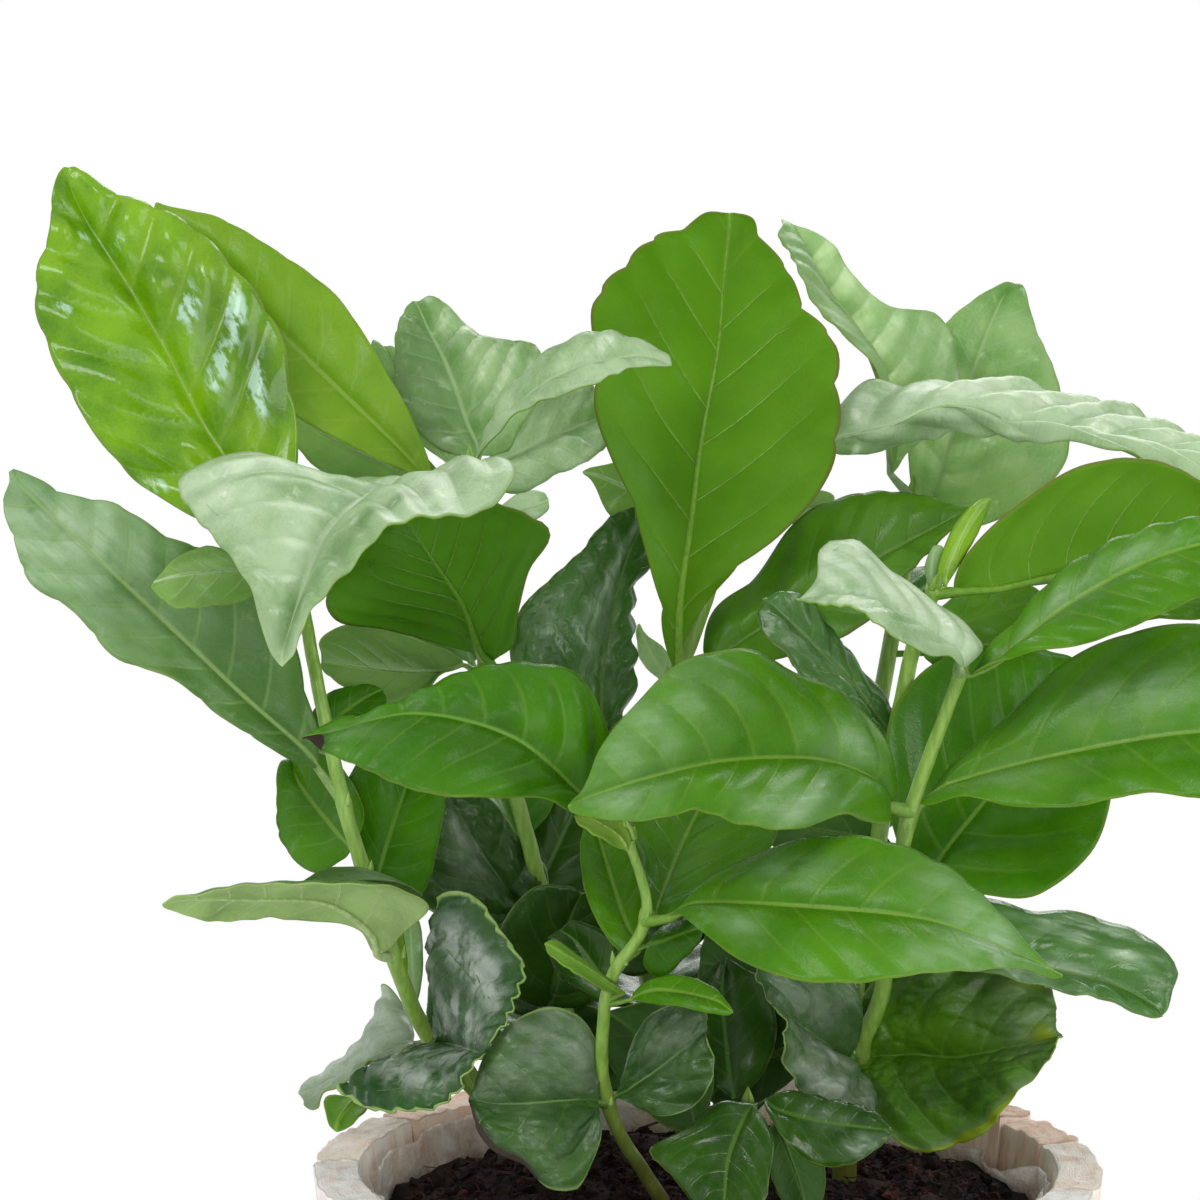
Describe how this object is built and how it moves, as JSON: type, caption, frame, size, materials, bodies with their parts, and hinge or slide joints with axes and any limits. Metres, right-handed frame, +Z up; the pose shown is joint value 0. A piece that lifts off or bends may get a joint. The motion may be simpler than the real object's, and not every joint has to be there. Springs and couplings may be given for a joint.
{
  "type": "potted coffee plant",
  "caption": "Clump of young coffee seedlings with glossy veined leaves on thin bent stems, rooted in dark soil inside a film-lined round pot of upright wooden staves.",
  "frame": {"origin": "middle of the pot's flat underside", "axes": "+Z up out of the pot, -Y towards the front of the plant, +X to its right as seen from the front"},
  "size_m": [0.2502, 0.1657, 0.3122],
  "materials": {
    "leaf_young": "gloss",
    "leaf_mid": "satin",
    "leaf_dark": "satin",
    "leaf_pale": "satin",
    "stem_green": "satin",
    "stave_wood": "matte",
    "board_wood": "matte",
    "liner_film": "satin",
    "peat_soil": "matte"
  },
  "bodies": {
    "root": {"stave_01": "stave_wood", "stave_02": "stave_wood", "stave_03": "stave_wood", "stave_04": "stave_wood", "stave_05": "stave_wood", "stave_06": "stave_wood", "stave_07": "stave_wood", "stave_08": "stave_wood", "stave_09": "stave_wood", "stave_10": "stave_wood", "stave_11": "stave_wood", "stave_12": "stave_wood", "foot_board": "board_wood", "liner": "liner_film", "soil": "peat_soil", "left_stem": "stem_green", "inner_stem": "stem_green", "front_stem": "stem_green", "right_stem": "stem_green", "slim_stem": "stem_green", "far_stem": "stem_green", "tall_stem": "stem_green", "small_stem": "stem_green", "left_crown_leaf": "leaf_young", "left_long_leaf": "leaf_mid", "left_mid_leaf": "leaf_mid", "left_low_leaf": "leaf_mid", "left_cotyledon_front": "leaf_dark", "left_cotyledon_back": "leaf_dark", "inner_crown_leaf_left": "leaf_young", "inner_crown_leaf_front": "leaf_pale", "inner_crown_leaf_back": "leaf_pale", "inner_crown_leaf_right": "leaf_pale", "inner_crown_leaf_rear": "leaf_pale", "inner_upper_leaf": "leaf_dark", "inner_low_leaf": "leaf_dark", "front_top_leaf": "leaf_mid", "front_broad_leaf": "leaf_mid", "front_mid_leaf_left": "leaf_dark", "front_mid_leaf_rear": "leaf_dark", "front_cotyledon_left": "leaf_dark", "front_cotyledon_right": "leaf_dark", "right_mid_leaf_left": "leaf_mid", "right_mid_leaf_right": "leaf_mid", "right_mid_leaf_rear": "leaf_mid", "right_low_leaf": "leaf_dark", "right_cotyledon_right": "leaf_dark", "right_cotyledon_left": "leaf_dark", "right_top_leaf_left": "leaf_pale", "right_top_leaf_right": "leaf_mid", "slim_top_leaf": "leaf_mid", "slim_mid_leaf": "leaf_dark", "far_top_leaf_left": "leaf_pale", "far_top_leaf_right": "leaf_mid", "tall_broad_leaf": "leaf_mid", "tall_narrow_leaf": "leaf_dark", "tall_arching_leaf": "leaf_pale", "tall_side_leaf": "leaf_mid", "small_leaf_front": "leaf_mid", "small_leaf_right": "leaf_mid"}
  },
  "joints": []
}
